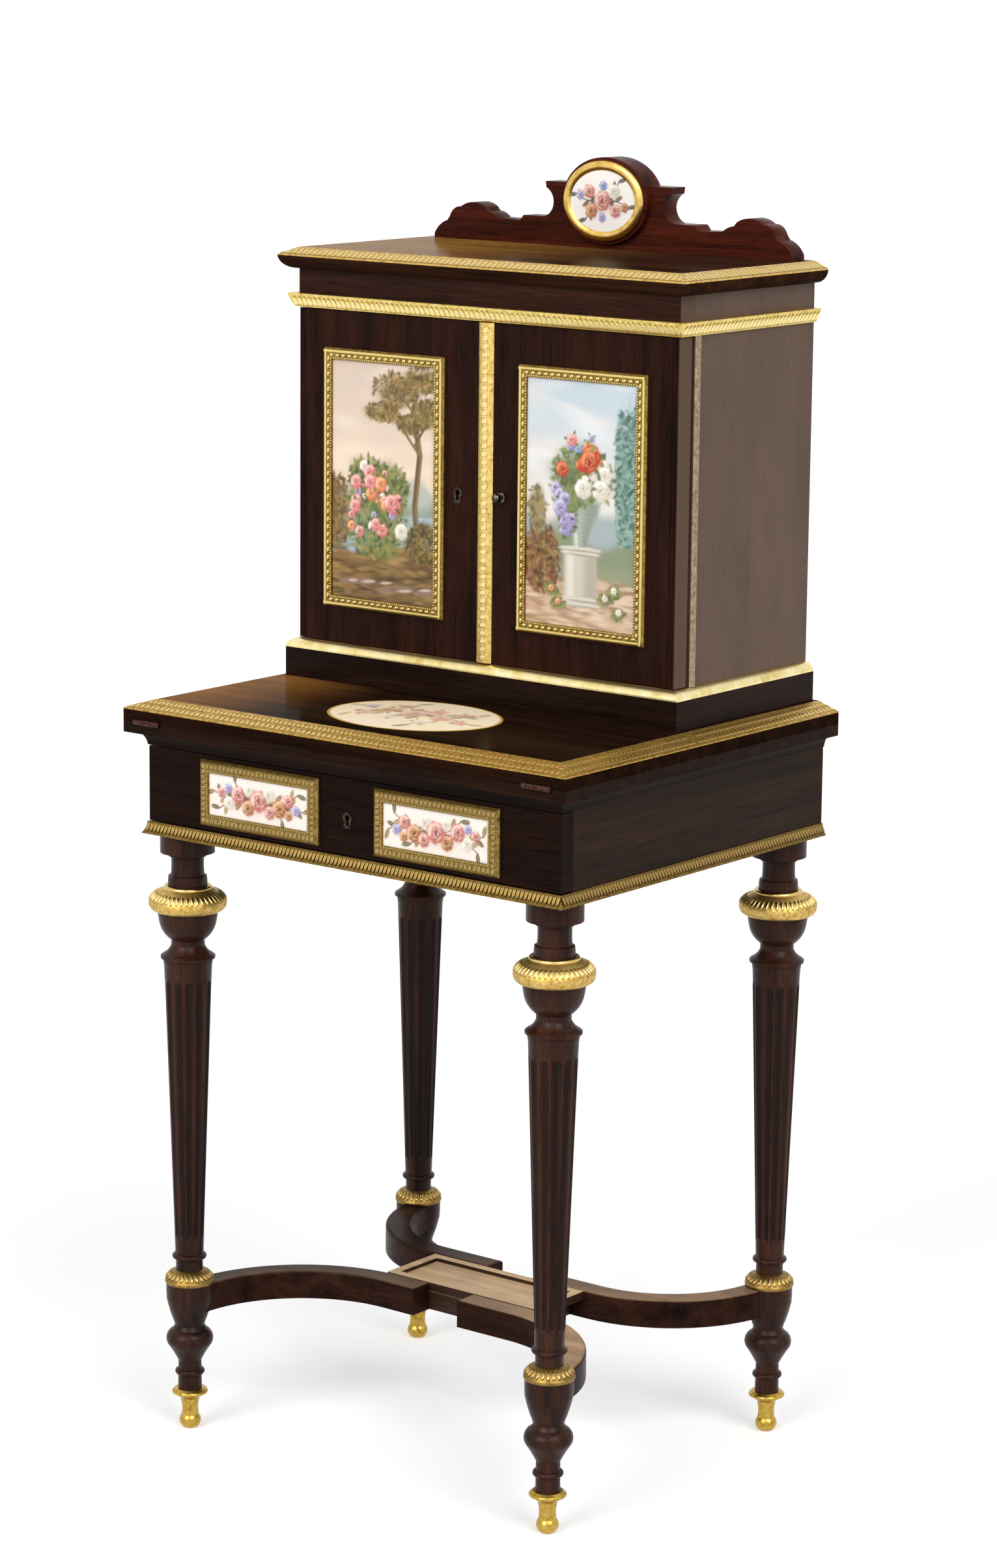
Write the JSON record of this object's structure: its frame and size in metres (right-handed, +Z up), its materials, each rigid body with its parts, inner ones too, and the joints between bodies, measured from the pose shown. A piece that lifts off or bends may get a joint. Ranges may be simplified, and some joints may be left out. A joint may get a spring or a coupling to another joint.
{
  "type": "writing desk with cabinet",
  "caption": "Lady's writing desk on turned fluted legs with a stretcher, a frieze drawer, a hinged writing flap and a low two-door cabinet with a crest, brass mounts and porcelain plaques.",
  "frame": {"origin": "on the floor, under the middle of the overall width and depth", "axes": "+Z up, the drawer and doors face -Y, +X to the right seen from the front"},
  "size_m": [0.538, 0.4478, 1.2605],
  "materials": {
    "dark_wood": "french polish",
    "inner_wood": "waxed",
    "gilt_brass": "gilt, cast and chased",
    "lock_steel": "filed",
    "porcelain": "painted and glazed",
    "writing_leather": "tooled"
  },
  "bodies": {
    "carcass": {"leg_front_left": "dark_wood", "leg_front_right": "dark_wood", "leg_rear_left": "dark_wood", "leg_rear_right": "dark_wood", "stretcher_arms": "dark_wood", "stretcher_block": "dark_wood", "stretcher_tablet": "dark_wood", "frieze_bottom": "dark_wood", "frieze_boards": "dark_wood", "under_top_moulding": "dark_wood", "lower_leaf": "dark_wood", "rear_top": "dark_wood", "plinth": "dark_wood", "cabinet_sides": "dark_wood", "cornice_rail": "dark_wood", "cabinet_top": "dark_wood", "crest_board": "dark_wood", "drawer_runners": "inner_wood", "cabinet_shelves": "inner_wood", "cabinet_back": "inner_wood", "leg_bulb_rings": "gilt_brass", "leg_collars": "gilt_brass", "toe_caps": "gilt_brass", "frieze_brass_band": "gilt_brass", "rear_top_brass": "gilt_brass", "plinth_brass_bead": "gilt_brass", "cornice_brass_band": "gilt_brass", "top_brass_edge": "gilt_brass", "side_fillets": "gilt_brass", "crest_ring": "gilt_brass", "door_pivots": "gilt_brass", "leaf_hinge_plates": "gilt_brass", "leaf_hinge_screws": "gilt_brass", "crest_plaque": "porcelain", "leaf_leather": "writing_leather"},
    "flap": {"flap_board": "dark_wood", "flap_brass_edge": "gilt_brass", "flap_plaque": "porcelain", "flap_leather": "writing_leather", "flap_hinge_plates": "gilt_brass", "flap_hinge_screws": "gilt_brass"},
    "drawer": {"drawer_front": "dark_wood", "drawer_box": "inner_wood", "drawer_bottom": "inner_wood", "drawer_plaques": "porcelain", "drawer_plaque_frames": "gilt_brass", "drawer_escutcheon": "gilt_brass", "drawer_lock": "lock_steel"},
    "left_door": {"left_door": "dark_wood", "left_door_plaque": "porcelain", "left_door_frame": "gilt_brass", "left_door_escutcheon": "gilt_brass", "door_lock": "lock_steel"},
    "right_door": {"right_door": "dark_wood", "right_door_plaque": "porcelain", "right_door_frame": "gilt_brass", "right_door_knob": "gilt_brass", "centre_strip": "gilt_brass"},
    "door_bolt": {"door_lock_bolt": "lock_steel"},
    "drawer_bolt": {"drawer_lock_bolt": "lock_steel"}
  },
  "joints": [
    {"name": "flap_hinge", "type": "hinge", "parent": "carcass", "child": "flap", "pos_m": [0, -0.2209, 0.7235], "axis": [1, 0, 0], "range_deg": [0, 180]},
    {"name": "drawer_slide", "type": "slide", "parent": "carcass", "child": "drawer", "axis": [0, -1, 0], "range_m": [0, 0.23]},
    {"name": "left_door_hinge", "type": "hinge", "parent": "carcass", "child": "left_door", "pos_m": [-0.2235, 0.0079, 0.94725], "axis": [0, 0, -1], "range_deg": [0, 105]},
    {"name": "right_door_hinge", "type": "hinge", "parent": "carcass", "child": "right_door", "pos_m": [0.2235, 0.0079, 0.94725], "axis": [0, 0, 1], "range_deg": [0, 105]},
    {"name": "door_bolt_slide", "type": "slide", "parent": "left_door", "child": "door_bolt", "axis": [1, 0, 0], "range_m": [0, 0.006]},
    {"name": "drawer_bolt_slide", "type": "slide", "parent": "drawer", "child": "drawer_bolt", "axis": [0, 0, 1], "range_m": [0, 0.006]}
  ]
}
